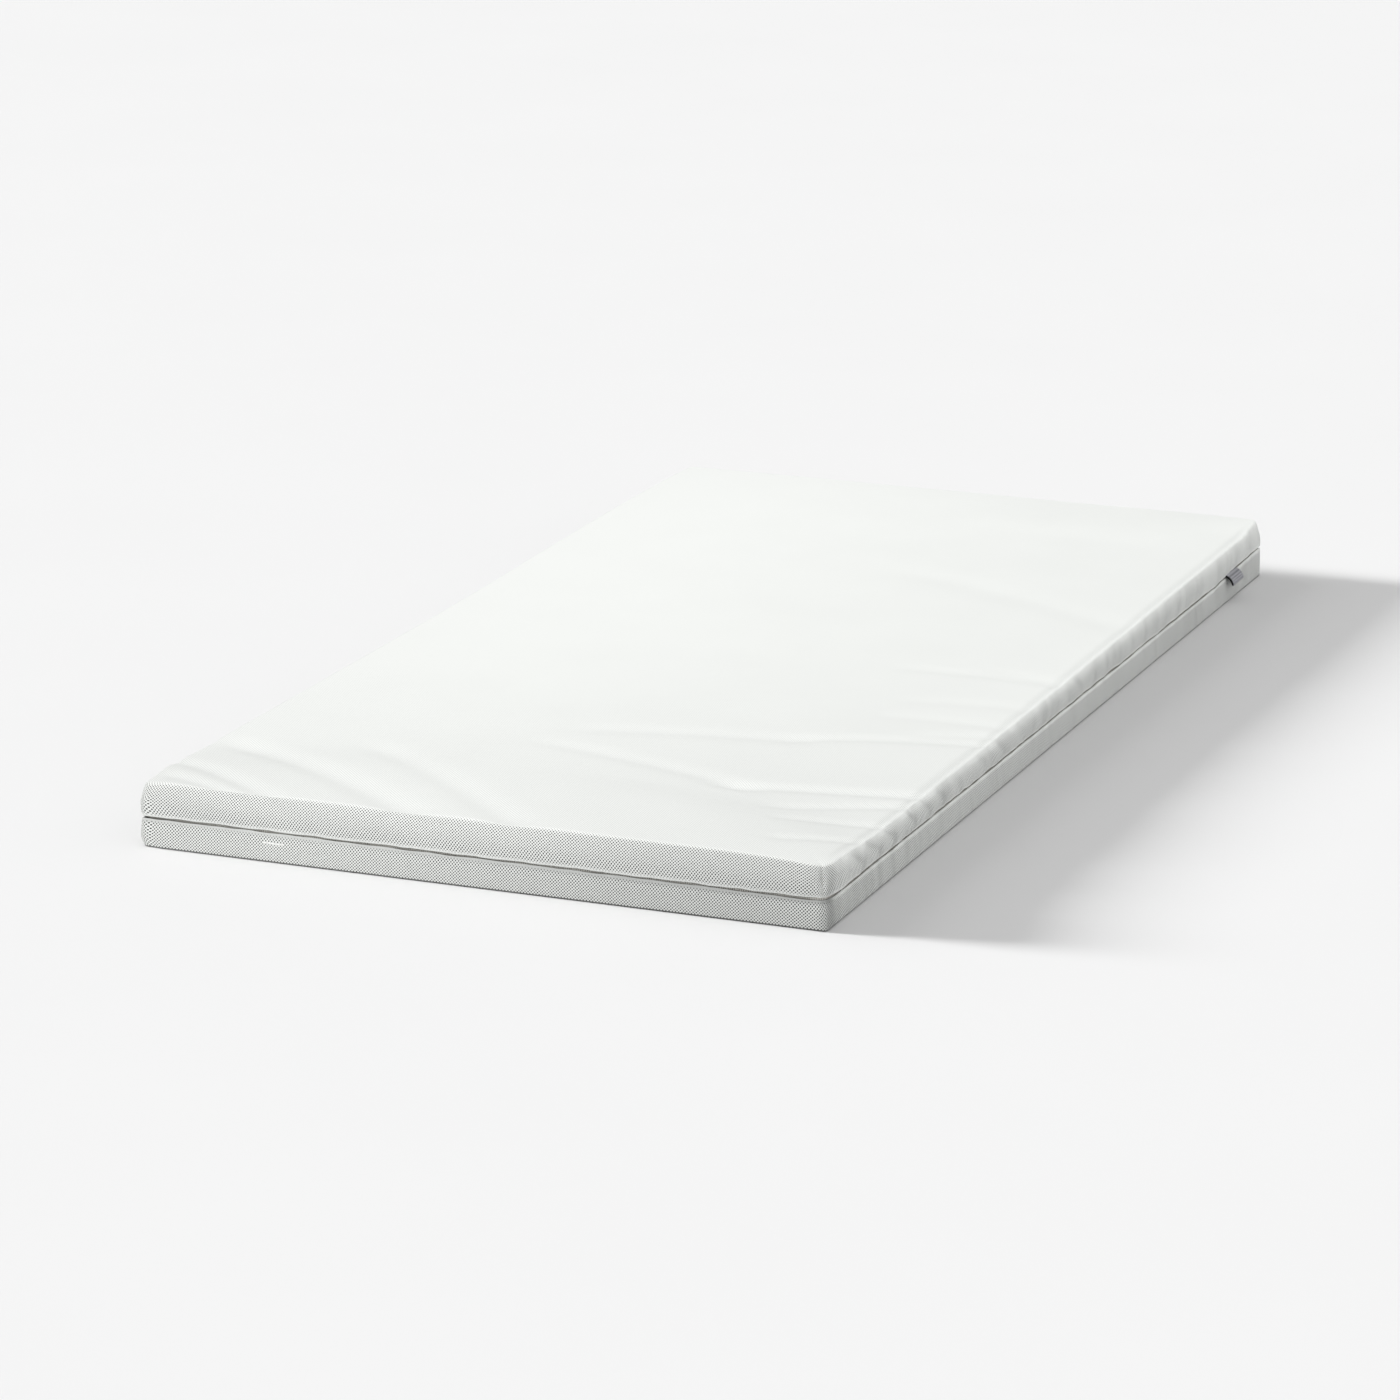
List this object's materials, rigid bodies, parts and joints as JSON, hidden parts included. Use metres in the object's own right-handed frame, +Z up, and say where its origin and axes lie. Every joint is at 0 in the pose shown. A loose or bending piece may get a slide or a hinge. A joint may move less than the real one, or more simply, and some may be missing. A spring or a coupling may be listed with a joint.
{
  "type": "foam mattress",
  "caption": "Thin rectangular foam mattress in a white mesh cover that zips apart all round into an upper and a lower half, with a bonded layered foam core and a folded side label.",
  "frame": {"origin": "middle of the flat underside", "axes": "+Z up, +Y along the length towards the end with the label and the zip's slider, +X across"},
  "size_m": [0.6057, 1.2019, 0.06],
  "materials": {
    "cover_mesh": "matte",
    "zip_tape": "matte",
    "zip_coil": "satin",
    "zip_metal": "satin",
    "thread": "satin",
    "label": "matte",
    "care_tag": "satin",
    "memory_foam": "matte",
    "support_foam": "matte",
    "adhesive": "satin"
  },
  "bodies": {
    "lower_cover": {"cover_bottom": "cover_mesh", "zip_tape_lower": "zip_tape", "zip_coil_lower": "zip_coil", "hem_stitches_lower": "thread", "zip_box": "zip_metal", "zip_end_stop": "zip_metal", "bar_tack": "thread", "care_label": "care_tag"},
    "foam_core": {"memory_foam_layer": "memory_foam", "adhesive_film": "adhesive", "support_foam_layer": "support_foam"},
    "upper_cover": {"cover_top": "cover_mesh", "zip_tape_upper": "zip_tape", "zip_coil_upper": "zip_coil", "hem_stitches_upper": "thread", "zip_pin": "zip_metal"},
    "zip_slider": {"zip_slider": "zip_metal", "slider_bridge": "zip_metal"},
    "zip_pull": {"zip_pull": "zip_metal"},
    "side_label": {"side_label": "label"}
  },
  "joints": [
    {"name": "core_lift", "type": "slide", "parent": "lower_cover", "child": "foam_core", "axis": [0, 0, 1], "range_m": [0, 0.12]},
    {"name": "cover_lift", "type": "slide", "parent": "foam_core", "child": "upper_cover", "axis": [0, 0, 1], "range_m": [0, 0.12]},
    {"name": "slider_travel", "type": "slide", "parent": "lower_cover", "child": "zip_slider", "axis": [1, 0, 0], "range_m": [0, 0.51], "deforming": ["zip_coil_upper", "zip_coil_lower"]},
    {"name": "pull_swing", "type": "hinge", "parent": "zip_slider", "child": "zip_pull", "pos_m": [-0.246, 0.60025, 0.026], "axis": [0, 0, -1], "range_deg": [0, 170]},
    {"name": "label_flip", "type": "hinge", "parent": "lower_cover", "child": "side_label", "pos_m": [0.29835, 0.511, 0.0237], "axis": [0, -1, 0], "range_deg": [-15, 75], "stiffness_Nm_per_rad": 0.0005}
  ]
}
